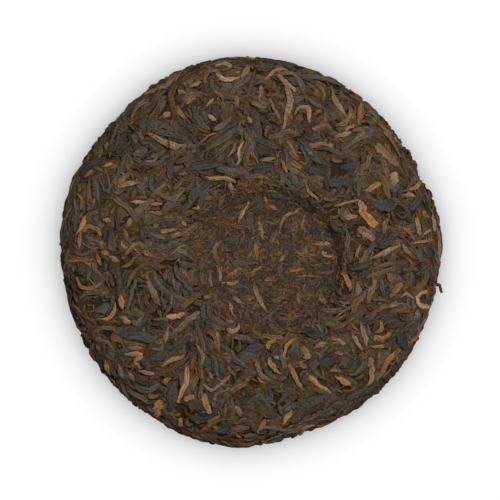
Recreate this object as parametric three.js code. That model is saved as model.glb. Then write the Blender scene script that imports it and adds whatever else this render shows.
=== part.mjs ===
// A pressed cake of pu erh tea, as a three.js group with one named mesh.
//
// The cake lies on its domed face, with the dimpled back up. It is one solid: a pressed core whose
// skin is covered all over with the larger leaves, fused on with few sides. The skin is laid out
// flat as two round sheets, the back and the face, which meet in the widest ring of the rim. Leaves
// are set out on each sheet, joined into triangles, and then wrapped onto the form of the cake.
// Lengths are millimetres, +Z is up, and the origin is under its middle, on the plane it rests on.

import * as THREE from "three";

// Driving dimensions of the whole cake, over its leaves
const CAKE_DIAMETER = 195;
const CAKE_THICKNESS = 25;
const RIM_HEIGHT = 10.5; // of the widest line round the rim, above the table
const PRESSED_DIAMETER = 100; // of the part of the face that the press left flat
const BACK_FULLNESS = 6; // powers of the section's curves: the higher, the flatter and the rounder the rim
const FACE_FULLNESS = 2.2;
const FLAT_SPOT_DIAMETER = 26; // of its bare middle

// The dimple that the knot of the cloth bag leaves in the back: its wall is steep towards +X
const DIMPLE_DIAMETER = 79;
const DIMPLE_FLOOR_DIAMETER = 60;
const DIMPLE_DEPTH = 8;
const DIMPLE_FLOOR_SAG = 0.8; // of the middle of its floor, under the floor's edge
const DIMPLE_CENTRE = new THREE.Vector2(8.7, -3.2);
const DIMPLE_FLOOR_CENTRE = new THREE.Vector2(12, -4.2);

// Lobes by which the hand-tied bag leaves the rim and the dimple out of round, towards an angle in degrees
const RIM_LOBES = [
  { count: 2, height: 1.0, towards: 90 },
  { count: 3, height: 0.6, towards: -2 },
  { count: 4, height: 0.75, towards: -6 },
  { count: 5, height: 0.4, towards: 28 },
];
const DIMPLE_LOBES = [
  { count: 2, height: 2.0, towards: -30 },
  { count: 3, height: 1.0, towards: 20 },
];

// The leaves, largest first, and the crumbs between them
const LEAF_SIZES = [
  { length: [20, 27], width: [4.2, 5.6], tries: 900 },
  { length: [13, 19], width: [3.4, 4.6], tries: 1600 },
  { length: [8, 12], width: [2.8, 3.6], tries: 2600 },
];
const LEAF_BEND = 1.2; // most that a leaf turns from end to end, in radians
const LEAF_STEP = 4.6; // between the corners along a leaf
const LEAF_PROUD = 1.2; // height of a leaf's back over the core
const LEAF_TILT = 0.45; // most by which one edge of a leaf is raised
const LEAF_GAP = 0.9; // least room between two leaves
const CRUMB_GAP = 2.5; // least room round a crumb
const CRUMB_PROUD = 0.7;
const CRUMB_TRIES = 9000;
const DIMPLE_PRESS = 0.5; // share of the relief that is left where the knot pressed it
const SEED = 357;

// The ring of the rim where the two sheets meet, and the finest steps of the section
const RING_CORNERS = 108;
const RING_LEAF = 3; // corners from one leaf along the ring to the next
const SECTION_STEPS = 48;

const CORE_RADIUS = CAKE_DIAMETER / 2 - LEAF_PROUD;
const CORE_TOP = CAKE_THICKNESS - LEAF_PROUD;
const CORE_FOOT = LEAF_PROUD / 2; // the leaves under it are pressed flat to this depth
const FLOOR_RADIUS = DIMPLE_FLOOR_DIAMETER / 2;
const LIP_RADIUS = DIMPLE_DIAMETER / 2;
const PRESSED_RADIUS = PRESSED_DIAMETER / 2;
const NO_OFFSET = new THREE.Vector2(0, 0);

const { lerp, degToRad, smoothstep, seededRandom } = THREE.MathUtils;
seededRandom(SEED);
const between = ([low, high]) => lerp(low, high, seededRandom());
const aboutZero = (size) => between([-size, size]);

// How far lobes push an outline out at an angle, in radians.
function lobesAt(lobes, angle) {
  const pushes = lobes.map(({ count, height, towards }) => height * Math.cos(count * (angle - degToRad(towards))));
  return pushes.reduce((sum, push) => sum + push, 0);
}

// The zones of the section, each as a function of a share from 0 to 1 that runs towards the rim.
// rim and dimple say how much of the lobes of each a zone follows, and press how much of the relief.
function dimpleFloor(share) {
  return {
    radius: FLOOR_RADIUS * share,
    height: lipHeight - DIMPLE_DEPTH - DIMPLE_FLOOR_SAG * (1 - share * share),
    centre: DIMPLE_FLOOR_CENTRE,
    rim: 0,
    dimple: 0.7 * share,
    relief: DIMPLE_PRESS,
  };
}

function dimpleWall(share) {
  return {
    radius: lerp(FLOOR_RADIUS, LIP_RADIUS, share),
    height: lipHeight - DIMPLE_DEPTH * (1 - smoothstep(share, 0, 1)),
    centre: DIMPLE_FLOOR_CENTRE.clone().lerp(DIMPLE_CENTRE, share),
    rim: 0,
    dimple: lerp(0.7, 1, share),
    relief: lerp(DIMPLE_PRESS, 1, share),
  };
}

const lipAngle = Math.asin((LIP_RADIUS / CORE_RADIUS) ** (BACK_FULLNESS / 2));
const lipHeight = lerp(RIM_HEIGHT, CORE_TOP, Math.cos(lipAngle));

function crown(share) {
  const angle = lerp(lipAngle, Math.PI / 2, share);
  return {
    radius: CORE_RADIUS * Math.sin(angle) ** (2 / BACK_FULLNESS),
    height: lerp(RIM_HEIGHT, CORE_TOP, Math.cos(angle)),
    centre: DIMPLE_CENTRE.clone().lerp(NO_OFFSET, smoothstep(share, 0, 0.6)),
    rim: smoothstep(share, 0, 0.8),
    dimple: 1 - smoothstep(share, 0, 0.4),
    relief: 1,
  };
}

function pressedFace(share) {
  return {
    radius: PRESSED_RADIUS * share,
    height: CORE_FOOT,
    centre: NO_OFFSET,
    rim: 0.5 * share,
    dimple: 0,
    relief: 1,
  };
}

function flank(share) {
  const angle = (Math.PI / 2) * share;
  return {
    radius: lerp(PRESSED_RADIUS, CORE_RADIUS, Math.sin(angle) ** (1 / FACE_FULLNESS)),
    height: lerp(RIM_HEIGHT, CORE_FOOT, Math.cos(angle)),
    centre: NO_OFFSET,
    rim: lerp(0.5, 1, share),
    dimple: 0,
    relief: 1,
  };
}

// A sheet of the skin: its stations from the middle to the rim, each with its reach along the section.
function sheetOf(zones, outward) {
  const section = [zones[0](0)];
  for (const zone of zones) {
    for (let step = 1; step <= SECTION_STEPS; step++) section.push(zone(step / SECTION_STEPS));
  }
  section[0].reach = 0;
  section.slice(1).forEach((station, i) => {
    const before = section[i];
    const step = Math.hypot(station.radius - before.radius, station.height - before.height);
    station.reach = before.reach + step;
  });
  return { section, outward, size: section.at(-1).reach };
}

// The station at a reach, between the two nearest.
function stationAt({ section }, reach) {
  const after = Math.max(1, section.findIndex((station) => station.reach >= reach));
  const [low, high] = [section[after - 1], section[after]];
  const share = (reach - low.reach) / (high.reach - low.reach);
  const mixed = { centre: low.centre.clone().lerp(high.centre, share) };
  for (const key of ["radius", "height", "rim", "dimple", "relief"]) {
    mixed[key] = lerp(low[key], high[key], share);
  }
  return mixed;
}

// The point of the core's skin that a point of the flat sheet is wrapped onto.
function skinPoint(sheet, { x, y }) {
  const angle = Math.atan2(y, x);
  const station = stationAt(sheet, Math.min(Math.hypot(x, y), sheet.size));
  const round = Math.min(1, station.radius / FLAT_SPOT_DIAMETER); // lobes fade out at the middle
  const rimPush = station.rim * lobesAt(RIM_LOBES, angle);
  const dimplePush = station.dimple * lobesAt(DIMPLE_LOBES, angle);
  const radius = station.radius + round * (rimPush + dimplePush);
  return new THREE.Vector3(
    station.centre.x + radius * Math.cos(angle),
    station.centre.y + radius * Math.sin(angle),
    station.height,
  );
}

// A corner of the solid: a point of the sheet wrapped onto the skin and raised along its normal.
const NORMAL_STEP = 0.4;
function wrapped(sheet, { x, y, proud }) {
  const inward = 1 - NORMAL_STEP / sheet.size; // keeps both neighbours on the sheet
  const point = skinPoint(sheet, { x, y });
  const east = skinPoint(sheet, { x: x * inward + NORMAL_STEP, y: y * inward });
  const west = skinPoint(sheet, { x: x * inward - NORMAL_STEP, y: y * inward });
  const north = skinPoint(sheet, { x: x * inward, y: y * inward + NORMAL_STEP });
  const south = skinPoint(sheet, { x: x * inward, y: y * inward - NORMAL_STEP });
  const normal = east.sub(west).cross(north.sub(south)).normalize().multiplyScalar(sheet.outward);
  const { relief } = stationAt(sheet, Math.min(Math.hypot(x, y), sheet.size));
  point.addScaledVector(normal, proud * relief);
  point.z = Math.max(0, point.z); // the press left the leaves flat
  return point;
}

// The corners of one leaf on the sheet: two tips, and a left edge, back and right edge at each step.
function leafCorners(middle, heading, length, width) {
  const steps = Math.max(2, Math.round(length / LEAF_STEP));
  const bend = aboutZero(LEAF_BEND);
  const tilt = aboutZero(LEAF_TILT);
  const spine = [];
  const at = middle.clone();
  let direction = heading - bend / 2;
  for (let i = 0; i <= steps; i++) {
    spine.push({ at: at.clone(), direction });
    at.add(new THREE.Vector2(Math.cos(direction), Math.sin(direction)).multiplyScalar(length / steps));
    direction += bend / steps;
  }
  const shift = middle.clone().sub(spine[Math.floor(steps / 2)].at);
  return spine.flatMap(({ at: point, direction: turn }, i) => {
    const back = point.clone().add(shift);
    if (i === 0 || i === steps) return [{ x: back.x, y: back.y, proud: 0, back: true }];
    const side = new THREE.Vector2(-Math.sin(turn), Math.cos(turn)).multiplyScalar(width / 2);
    const proud = LEAF_PROUD * between([0.8, 1]);
    return [
      { x: back.x + side.x, y: back.y + side.y, proud: tilt },
      { x: back.x, y: back.y, proud, back: true },
      { x: back.x - side.x, y: back.y - side.y, proud: -tilt },
    ];
  });
}

// True if all of the corners stay on the sheet, off its bare middle and clear of the others.
function hasRoom(corners, placed, sheet, width) {
  const middle = sheet.bare + LEAF_GAP;
  if (corners.some(({ x, y }) => Math.hypot(x, y) > sheet.size - LEAF_GAP * 2)) return false;
  if (corners.some(({ x, y }) => Math.hypot(x, y) < middle)) return false;
  const backs = corners.filter(({ back }) => back);
  return placed.every((other) => {
    const room = (width + other.width) / 2 + LEAF_GAP;
    return backs.every((a) => other.backs.every((b) => Math.hypot(a.x - b.x, a.y - b.y) > room));
  });
}

// Sets the leaves out on a sheet, largest first. Near the rim they lie more along it than across.
function setOutLeaves(sheet) {
  const placed = [];
  for (const { length, width, tries } of LEAF_SIZES) {
    for (let i = 0; i < tries; i++) {
      const reach = sheet.size * Math.sqrt(seededRandom());
      const angle = between([0, 2 * Math.PI]);
      const nearRim = smoothstep(reach, sheet.size * 0.8, sheet.size);
      const heading = angle + Math.PI / 2 + aboutZero(Math.PI / 2) * lerp(1, 0.2, nearRim);
      const middle = new THREE.Vector2(Math.cos(angle), Math.sin(angle)).multiplyScalar(reach);
      const leafWidth = between(width);
      const corners = leafCorners(middle, heading, between(length), leafWidth);
      if (!hasRoom(corners, placed, sheet, leafWidth)) continue;
      placed.push({ corners, width: leafWidth, backs: corners.filter(({ back }) => back) });
    }
  }
  return placed.flatMap(({ corners }) => corners);
}

// Single corners that fill what the leaves leave free, some raised and some sunk.
function setOutCrumbs(sheet, corners) {
  const all = [...corners];
  for (let i = 0; i < CRUMB_TRIES; i++) {
    const reach = lerp(sheet.bare, sheet.size - CRUMB_GAP / 2, Math.sqrt(seededRandom()));
    const angle = between([0, 2 * Math.PI]);
    const crumb = { x: reach * Math.cos(angle), y: reach * Math.sin(angle), proud: aboutZero(CRUMB_PROUD) };
    if (all.every(({ x, y }) => Math.hypot(crumb.x - x, crumb.y - y) > CRUMB_GAP)) all.push(crumb);
  }
  return all.slice(corners.length);
}

// The corners of a ring on a sheet, from the same list of heights for both sheets.
function ringCorners(radius, heights) {
  return heights.map((proud, i) => {
    const angle = (2 * Math.PI * i) / heights.length;
    return { x: radius * Math.cos(angle), y: radius * Math.sin(angle), proud };
  });
}

// The Delaunay triangles of points in a plane, each turning anticlockwise (Bowyer and Watson's way).
// They are moved by a hair first, since the method can't tell apart points on one circle.
const HAIR = 0.001;
function delaunay(points) {
  const far = 50 * Math.max(...points.map(({ x, y }) => Math.hypot(x, y)));
  const moved = points.map(({ x, y }) => ({ x: x + aboutZero(HAIR), y: y + aboutZero(HAIR) }));
  const all = [...moved, { x: -far, y: -far }, { x: far, y: -far }, { x: 0, y: far }];
  const triangle = (a, b, c) => {
    const [p, q, r] = [all[a], all[b], all[c]];
    const [qx, qy, rx, ry] = [q.x - p.x, q.y - p.y, r.x - p.x, r.y - p.y];
    const twice = 2 * (qx * ry - qy * rx);
    const x = (ry * (qx * qx + qy * qy) - qy * (rx * rx + ry * ry)) / twice;
    const y = (qx * (rx * rx + ry * ry) - rx * (qx * qx + qy * qy)) / twice;
    return { corners: [a, b, c], x: p.x + x, y: p.y + y, square: x * x + y * y };
  };
  let triangles = [triangle(points.length, points.length + 1, points.length + 2)];
  moved.forEach((point, index) => {
    const edges = new Map();
    const kept = [];
    for (const t of triangles) {
      if ((point.x - t.x) ** 2 + (point.y - t.y) ** 2 >= t.square) {
        kept.push(t);
        continue;
      }
      t.corners.forEach((from, i) => {
        const to = t.corners[(i + 1) % 3];
        if (!edges.delete(`${to} ${from}`)) edges.set(`${from} ${to}`, [from, to]);
      });
    }
    triangles = kept.concat([...edges.values()].map(([from, to]) => triangle(from, to, index)));
  });
  return triangles.map(({ corners }) => corners).filter((t) => t.every((i) => i < points.length));
}

// Both sheets as one closed geometry: they share the corners of the ring, which come first.
function cakeGeometry() {
  const back = { ...sheetOf([dimpleFloor, dimpleWall, crown], 1), bare: 0 };
  const face = { ...sheetOf([pressedFace, flank], -1), bare: FLAT_SPOT_DIAMETER / 2 };
  const ringHeights = Array.from({ length: RING_CORNERS }, (_, i) =>
    i % RING_LEAF === 0 ? aboutZero(LEAF_TILT) : LEAF_PROUD * between([0.6, 1]),
  );
  const ring = ringCorners(back.size, ringHeights).map((corner) => wrapped(back, corner));
  const positions = ring.flatMap((corner) => corner.toArray());
  const triangles = [];
  for (const sheet of [back, face]) {
    const spot = sheet.bare ? ringCorners(sheet.bare, Array(12).fill(LEAF_PROUD)) : [];
    const leaves = setOutLeaves(sheet);
    const rim = ringCorners(sheet.size, ringHeights);
    const inner = [...leaves, ...spot];
    const corners = [...rim, ...inner, ...setOutCrumbs(sheet, [...inner, ...rim])];
    const first = positions.length / 3 - RING_CORNERS;
    const numberOf = (i) => (i < RING_CORNERS ? i : i + first);
    corners.slice(RING_CORNERS).forEach((corner) => positions.push(...wrapped(sheet, corner).toArray()));
    for (const [a, b, c] of delaunay(corners)) {
      const facing = sheet.outward > 0 ? [a, b, c] : [a, c, b];
      triangles.push(...facing.map(numberOf));
    }
  }
  const geometry = new THREE.BufferGeometry();
  geometry.setAttribute("position", new THREE.Float32BufferAttribute(positions, 3));
  geometry.setIndex(triangles);
  geometry.computeVertexNormals();
  const middle = new THREE.Box3().setFromBufferAttribute(geometry.attributes.position).getCenter(new THREE.Vector3());
  geometry.translate(-middle.x, -middle.y, 0);
  return geometry;
}

const teaLeaf = new THREE.MeshStandardMaterial({ color: 0x4b3c2f, roughness: 0.75, metalness: 0 });
const cake = new THREE.Mesh(cakeGeometry(), teaLeaf);
cake.name = "tea_cake";

const group = new THREE.Group();
group.name = "pu_erh_tea_cake";
group.add(cake);

export default group;
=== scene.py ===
# %% [markdown]
# # A pressed cake of pu erh tea
#
# Dark tea leaves are steamed, tied up in a cloth bag and pressed under a stone. What comes out is
# a flat, round cake with a domed face and, in the back, the round dimple that the bag's knot
# leaves. This lesson lays the cake on its face, as the photograph does, and builds it as it is
# made: first a plain pressed core, then thousands of single leaves pressed into its skin.
#
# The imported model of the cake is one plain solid. It is loaded first, and it stays the frame that
# everything else is set against.

import math

import bpy
import numpy as np
from mathutils import Matrix, Vector
from mathutils.bvhtree import BVHTree


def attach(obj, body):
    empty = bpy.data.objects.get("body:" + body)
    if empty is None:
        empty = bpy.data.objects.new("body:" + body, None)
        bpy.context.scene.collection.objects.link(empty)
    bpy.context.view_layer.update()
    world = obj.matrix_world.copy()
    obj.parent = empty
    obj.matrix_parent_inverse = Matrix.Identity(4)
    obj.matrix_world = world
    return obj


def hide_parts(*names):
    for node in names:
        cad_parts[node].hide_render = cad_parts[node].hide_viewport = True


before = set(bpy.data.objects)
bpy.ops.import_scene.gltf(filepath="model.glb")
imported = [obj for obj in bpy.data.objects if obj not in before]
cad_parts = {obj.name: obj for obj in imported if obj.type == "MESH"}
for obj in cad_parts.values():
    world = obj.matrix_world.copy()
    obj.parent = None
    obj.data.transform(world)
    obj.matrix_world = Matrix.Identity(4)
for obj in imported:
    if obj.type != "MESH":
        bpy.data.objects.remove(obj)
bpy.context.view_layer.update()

# %% [markdown]
# ## The sizes of the cake
#
# All sizes are given once, in metres, and named. The leaves make up the outermost skin of the
# cake, so the core that they are pressed into is smaller than the cake all over, by the depth of
# that skin.

# %% Sizes
MM = 0.001
SKIN_DEPTH = 2.0 * MM

CORE_RADIUS = 97.8 * MM - SKIN_DEPTH
CORE_TOP = 25.0 * MM - SKIN_DEPTH
CORE_FOOT = 1.2 * MM
RIM_HEIGHT = 10.5 * MM
PRESSED_RADIUS = 50.0 * MM

LIP_RADIUS = 39.5 * MM
FLOOR_RADIUS = 30.0 * MM
FLOOR_SAG = 0.8 * MM
DIMPLE_DEPTH = 8.0 * MM
DIMPLE_COVER = 0.5 * MM
DIMPLE_CENTRE = Vector((8.7 * MM, -3.2 * MM, 0))
FLOOR_CENTRE = Vector((12.0 * MM, -4.2 * MM, 0))

random = np.random.default_rng(357)
core_thickness = CORE_TOP - CORE_FOOT
print("core:", round(2000 * CORE_RADIUS), "mm across,", round(1000 * core_thickness), "mm thick")

# %% [markdown]
# ## The pressed core
#
# The core is the ground between the leaves. It shows only as dark cracks, where its colour is painted
# shade, but it gives the whole cake its form. It could be spun from a drawn section, but the dimple
# isn't in the middle, so it is modelled as a disc whose top face is inset again and again: each inset
# steps along the section, inwards and up over the crown, then down the wall of the dimple and across
# its floor. While the dimple is being made, the selected face is also moved a little sideways after
# each inset.

# %% A way to step along the section with insets
def inset_to(radius, height, now):
    """Insets the selected round face to a smaller radius and another height, and returns them."""
    now_radius, now_height, outward = now
    bpy.ops.mesh.inset(thickness=now_radius - radius, depth=(height - now_height) * outward)
    return radius, height, outward


def crown_height(radius):
    """The height of the crown of the back at a radius: a flat curve with a round shoulder."""
    rise = math.sqrt(max(0.0, 1 - (radius / CORE_RADIUS) ** 6))
    return RIM_HEIGHT + (CORE_TOP - RIM_HEIGHT) * rise


def flank_height(radius):
    """The height of the domed face at a radius, from the part that the press left flat to the rim."""
    share = (radius - PRESSED_RADIUS) / (CORE_RADIUS - PRESSED_RADIUS)
    return RIM_HEIGHT - (RIM_HEIGHT - CORE_FOOT) * math.sqrt(max(0.0, 1 - share**4.4))


# %% Start from a thin disc in the widest ring of the rim
CORE_SIDES = 160
DISC_THICKNESS = 0.4 * MM

bpy.ops.object.select_all(action="DESELECT")
bpy.ops.mesh.primitive_cylinder_add(
    vertices=CORE_SIDES, radius=CORE_RADIUS, depth=DISC_THICKNESS, location=(0, 0, RIM_HEIGHT)
)
core = bpy.context.object
core.name = "pressed_core"
bpy.ops.object.transform_apply(location=True, rotation=False, scale=False)


def select_face(piece, looking):
    """Selects the one large face of the piece that looks up (1) or down (-1)."""
    bpy.ops.object.mode_set(mode="OBJECT")
    for face in piece.data.polygons:
        face.select = face.normal.z * looking > 0.9 and len(face.vertices) > 4
    bpy.ops.object.mode_set(mode="EDIT")


# %% The crown, as far as the dimple's lip
CROWN_STEPS = 15

bpy.ops.object.mode_set(mode="EDIT")
bpy.ops.mesh.select_mode(type="FACE")
bpy.ops.mesh.select_all(action="DESELECT")
select_face(core, 1)
now = (CORE_RADIUS, RIM_HEIGHT + DISC_THICKNESS / 2, 1)
for step in range(1, CROWN_STEPS):
    turn = math.radians(90) * (1 - step / CROWN_STEPS)
    radius = max(CORE_RADIUS * math.sin(turn) ** (1 / 3), LIP_RADIUS)
    now = inset_to(radius, crown_height(radius), now)
    if radius == LIP_RADIUS:
        break

# %% The wall of the dimple and its floor
WALL_STEPS = 8
FLOOR_RINGS = (0.8, 0.6, 0.4, 0.2)

lip_height = crown_height(LIP_RADIUS)
core_depth = DIMPLE_DEPTH - (SKIN_DEPTH - DIMPLE_COVER)
bpy.ops.transform.translate(value=DIMPLE_CENTRE)
for step in range(1, WALL_STEPS + 1):
    share = step / WALL_STEPS
    fall = share * share * (3 - 2 * share)
    radius = LIP_RADIUS + (FLOOR_RADIUS - LIP_RADIUS) * share
    now = inset_to(radius, lip_height - core_depth * fall, now)
    bpy.ops.transform.translate(value=(FLOOR_CENTRE - DIMPLE_CENTRE) / WALL_STEPS)
for share in FLOOR_RINGS:
    now = inset_to(FLOOR_RADIUS * share, lip_height - core_depth - FLOOR_SAG * (1 - share**2), now)
bpy.ops.mesh.poke()

# %% The domed face underneath
FLANK_RINGS = (0.99, 0.97, 0.94, 0.9, 0.84, 0.76, 0.66, 0.54, 0.4, 0.24, 0.1)
PRESSED_RINGS = (PRESSED_RADIUS, 36 * MM, 22 * MM, 9 * MM)

select_face(core, -1)
now = (CORE_RADIUS, RIM_HEIGHT - DISC_THICKNESS / 2, -1)
for share in FLANK_RINGS:
    radius = PRESSED_RADIUS + (CORE_RADIUS - PRESSED_RADIUS) * share
    now = inset_to(radius, flank_height(radius), now)
for radius in PRESSED_RINGS:
    now = inset_to(radius, CORE_FOOT, now)
bpy.ops.mesh.poke()
bpy.ops.object.mode_set(mode="OBJECT")
core_heights = [vertex.co.z for vertex in core.data.vertices]
print("core:", len(core_heights), "vertices, top at", round(1000 * max(core_heights), 1), "mm")

# %% [markdown]
# ## Out of round
#
# The bag is tied by hand, so neither the rim nor the dimple is a true circle. A few slow waves
# round the outline say by how much each is pushed out, and towards where. They are added to the
# place of every vertex of the core, full at the rim and at the dimple's lip and fading between.
# A small notch at the right of the rim, where some leaf broke away, is cut in the same step.

# %% Lobes: the number of waves all round, how far they push, and towards which angle
RIM_LOBES = (
    (2, 1.0 * MM, 90),
    (3, 0.6 * MM, -2),
    (4, 0.75 * MM, -6),
    (5, 0.4 * MM, 28),
    (7, 0.5 * MM, 8),
)
DIMPLE_LOBES = ((2, 2.0 * MM, -30), (3, 1.0 * MM, 20))
RIM_FADE = (55 * MM, 90 * MM)
LIP_FADE_IN = (8 * MM, 30 * MM)
LIP_FADE_OUT = (LIP_RADIUS + 4 * MM, LIP_RADIUS + 26 * MM)

NOTCH_ANGLE = 23
NOTCH_HALF_WIDTH = 2.5
NOTCH_DEPTH = 2.6 * MM
NOTCH_FADE = (88 * MM, 94 * MM)


def lobes_at(lobes, angle):
    """How far lobes push an outline out at an angle, in radians."""
    return sum(push * np.cos(count * (angle - math.radians(towards))) for count, push, towards in lobes)


def smooth(value, low, high):
    """Rises smoothly from 0 to 1 between two values."""
    share = np.clip((value - low) / (high - low), 0, 1)
    return share * share * (3 - 2 * share)


# %% Push every vertex out of round
def rim_push(place):
    """How far the lobes of the rim and its notch move a place on the core."""
    radius = place.xy.length
    if radius == 0:
        return Vector((0, 0, 0))
    angle = math.atan2(place.y, place.x)
    from_notch = (math.degrees(angle) - NOTCH_ANGLE) / NOTCH_HALF_WIDTH
    notch = NOTCH_DEPTH * math.exp(-(from_notch**2)) * smooth(radius, *NOTCH_FADE)
    outwards = lobes_at(RIM_LOBES, angle) - notch
    return place.xy.to_3d() / radius * smooth(radius, *RIM_FADE) * outwards


def lip_push(place):
    """How far the lobes of the dimple move a place on the back of the core."""
    from_dimple = place - DIMPLE_CENTRE
    reach = from_dimple.xy.length
    if place.z <= RIM_HEIGHT or reach == 0:
        return Vector((0, 0, 0))
    share = smooth(reach, *LIP_FADE_IN) * (1 - smooth(reach, *LIP_FADE_OUT))
    angle = math.atan2(from_dimple.y, from_dimple.x)
    return from_dimple.xy.to_3d() / reach * share * lobes_at(DIMPLE_LOBES, angle)


for vertex in core.data.vertices:
    vertex.co += rim_push(vertex.co) + lip_push(vertex.co)

bpy.ops.object.shade_smooth()
print("outline:", [round(1000 * side, 1) for side in core.dimensions], "mm")

# %% [markdown]
# ## How a leaf lies
#
# A leaf follows the core. Its middle line starts at a random place on the core's skin and walks
# over it in short steps: after each step the nearest point of the skin is looked up, and the
# walking direction is laid flat on it again. The walk also turns a little, because hardly any
# leaf is straight. Near the rim the cloth rolled the leaves round, so there they lie along it.

# %% The skin of the core, and how deep the leaves lie over it
LIP_BAND = (0.91, 1.01)

core.data.calc_loop_triangles()
skin = BVHTree.FromObject(core, bpy.context.evaluated_depsgraph_get())
corner_numbers = np.array([triangle.vertices[:] for triangle in core.data.loop_triangles])
corner_places = np.array([vertex.co[:] for vertex in core.data.vertices])[corner_numbers]
triangle_areas = np.array([triangle.area for triangle in core.data.loop_triangles])
print("skin:", round(triangle_areas.sum() * 1e4), "square centimetres")


def dimple_reach(place):
    """Distance from the middle of the dimple as a share of the way to its lip. Places may be an array."""
    place = np.asarray(place)
    east, north = place[..., 0] - DIMPLE_CENTRE.x, place[..., 1] - DIMPLE_CENTRE.y
    reach = np.hypot(east, north) / (LIP_RADIUS + lobes_at(DIMPLE_LOBES, np.arctan2(north, east)))
    return np.where(place[..., 2] < RIM_HEIGHT, 3.0, reach)


def cover_at(place):
    """How deep the leaves lie over the core: rubbed thin in the dimple, full everywhere else."""
    return DIMPLE_COVER + (SKIN_DEPTH - DIMPLE_COVER) * smooth(dimple_reach(place), *LIP_BAND)


# %% Random places on the skin
def random_places(count, wanted):
    """Places on the core, spread evenly by area, that pass the test."""
    places = []
    while len(places) < count:
        picked = random.choice(len(triangle_areas), p=triangle_areas / triangle_areas.sum())
        a, b = random.random(2)
        if a + b > 1:
            a, b = 1 - a, 1 - b
        first, second, third = corner_places[picked]
        place = first + a * (second - first) + b * (third - first)
        if wanted(place):
            places.append(place)
    return places


# %% Walk over the skin
MOST_SWAY = 0.3


def walk(start, heading, length, bend, stations):
    """Places, directions and normals of a leaf's middle line, centred on start."""
    place, normal, _, _ = skin.find_nearest(Vector(start))
    step = length / (stations - 1)
    east = Vector((1, 0, 0))
    east = (east - normal * east.dot(normal)).normalized()
    direction = Matrix.Rotation(heading - bend / 2, 3, normal) @ east
    place = place - direction * length / 2
    sway = random.uniform(-MOST_SWAY, MOST_SWAY)
    rows = []
    for station in range(stations):
        place, normal, _, _ = skin.find_nearest(place)
        direction = (direction - normal * direction.dot(normal)).normalized()
        rows.append((*place, *direction, *normal))
        place = place + direction * step
        turn = bend / (stations - 1) + sway * math.cos(2 * math.pi * station / (stations - 1))
        direction = Matrix.Rotation(turn, 3, normal) @ direction
    return rows


# %% Which way a leaf points
def random_swirl():
    """A slow wave over the cake: its waves to the east and to the north, and where it starts."""
    waves = random.uniform(60, 150, 2) * random.choice((-1, 1), 2)
    return waves, random.uniform(0, 6.3)


SWIRLS = [random_swirl() for _ in range(5)]
ALONG_RIM = (80 * MM, 93 * MM)


def random_heading(place):
    """Roughly the way that its neighbours lie on the crown, and mostly along the rim near it."""
    swirl = sum(math.sin(waves[0] * place[0] + waves[1] * place[1] + start) for waves, start in SWIRLS)
    anywhere = 1.3 * swirl + random.normal(0, 0.75)
    along_rim = math.atan2(place[1], place[0]) + math.pi / 2 + random.normal(0, 0.3)
    near_rim = smooth(math.hypot(place[0], place[1]), *ALONG_RIM)
    return along_rim if random.random() < near_rim else anywhere


# %% [markdown]
# ## The shape of a leaf
#
# A dry leaf of this tea is a strip that was rolled lengthwise and then pressed. It is made as a
# tube of a few rings round its middle line, with a tip at each end that may be pointed or blunt.
# Ridges round the ring and a twist along the leaf give the rolled look, its edges are ragged, and
# its ends dip, some more than others. What would stand higher than the skin of the cake is pressed
# flat, and what would reach the table is squeezed thin. Thousands of leaves would be far too many
# objects, so all leaves of one kind are written into one mesh. Each leaf keeps two things for its
# material: a map that runs round and along it, and a tone, one random number that drifts a little
# from end to end.

# %% The sections of many leaves, before they are laid
def ring_angles(top, under):
    """Where the corners of a ring sit: the top ones from edge to edge, and the few underneath."""
    upper = np.linspace(0, np.pi, top)
    lower = np.pi + np.pi * np.arange(1, under + 1) / (under + 1)
    return np.concatenate([upper, lower])


def per_leaf(low, high, leaves):
    """One random number for each leaf, shaped to go with its stations and its sides."""
    return random.uniform(low, high, (leaves, 1, 1))


def leaf_sections(width, thickness, ridge, stations, corners):
    """How far across and up each corner of each ring lies: two arrays, leaves by stations by sides."""
    leaves, sides = len(width), sum(corners)
    along = np.linspace(0, 1, stations)[None, :, None]
    round_ring = ring_angles(*corners)[None, None, :]

    # The outline: widest off the middle, with pointed or blunt tips and ragged edges.
    skew = per_leaf(0.6, 1.6, leaves)
    blunt = per_leaf(0.08, 0.8, leaves)
    taper = np.sin(np.pi * np.clip(along**skew, 0.06, 0.94)) ** blunt
    ragged = 1 + 0.08 * np.sin(along * per_leaf(4, 11, leaves) + per_leaf(0, 6.3, leaves))
    ragged = ragged + random.uniform(-0.15, 0.15, (leaves, stations, 1))
    width_now = width[:, None, None] * taper * ragged
    thick_now = thickness[:, None, None] * taper**0.5

    # The section: squarer than an ellipse, creased, and kinked sideways.
    creases = random.uniform(-1, 1, (leaves, 1, sides))
    creases = creases + random.uniform(-0.35, 0.35, (leaves, stations, sides))
    kinks = random.normal(0, 0.07, (leaves, stations, 1)) * width[:, None, None]
    square_up = np.sign(np.sin(round_ring)) * np.abs(np.sin(round_ring)) ** 0.6
    across = 0.5 * width_now * np.cos(round_ring) * (1 + 0.1 * creases) + kinks
    up = 0.5 * thick_now * (square_up + ridge * creases)
    return across, up


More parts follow.
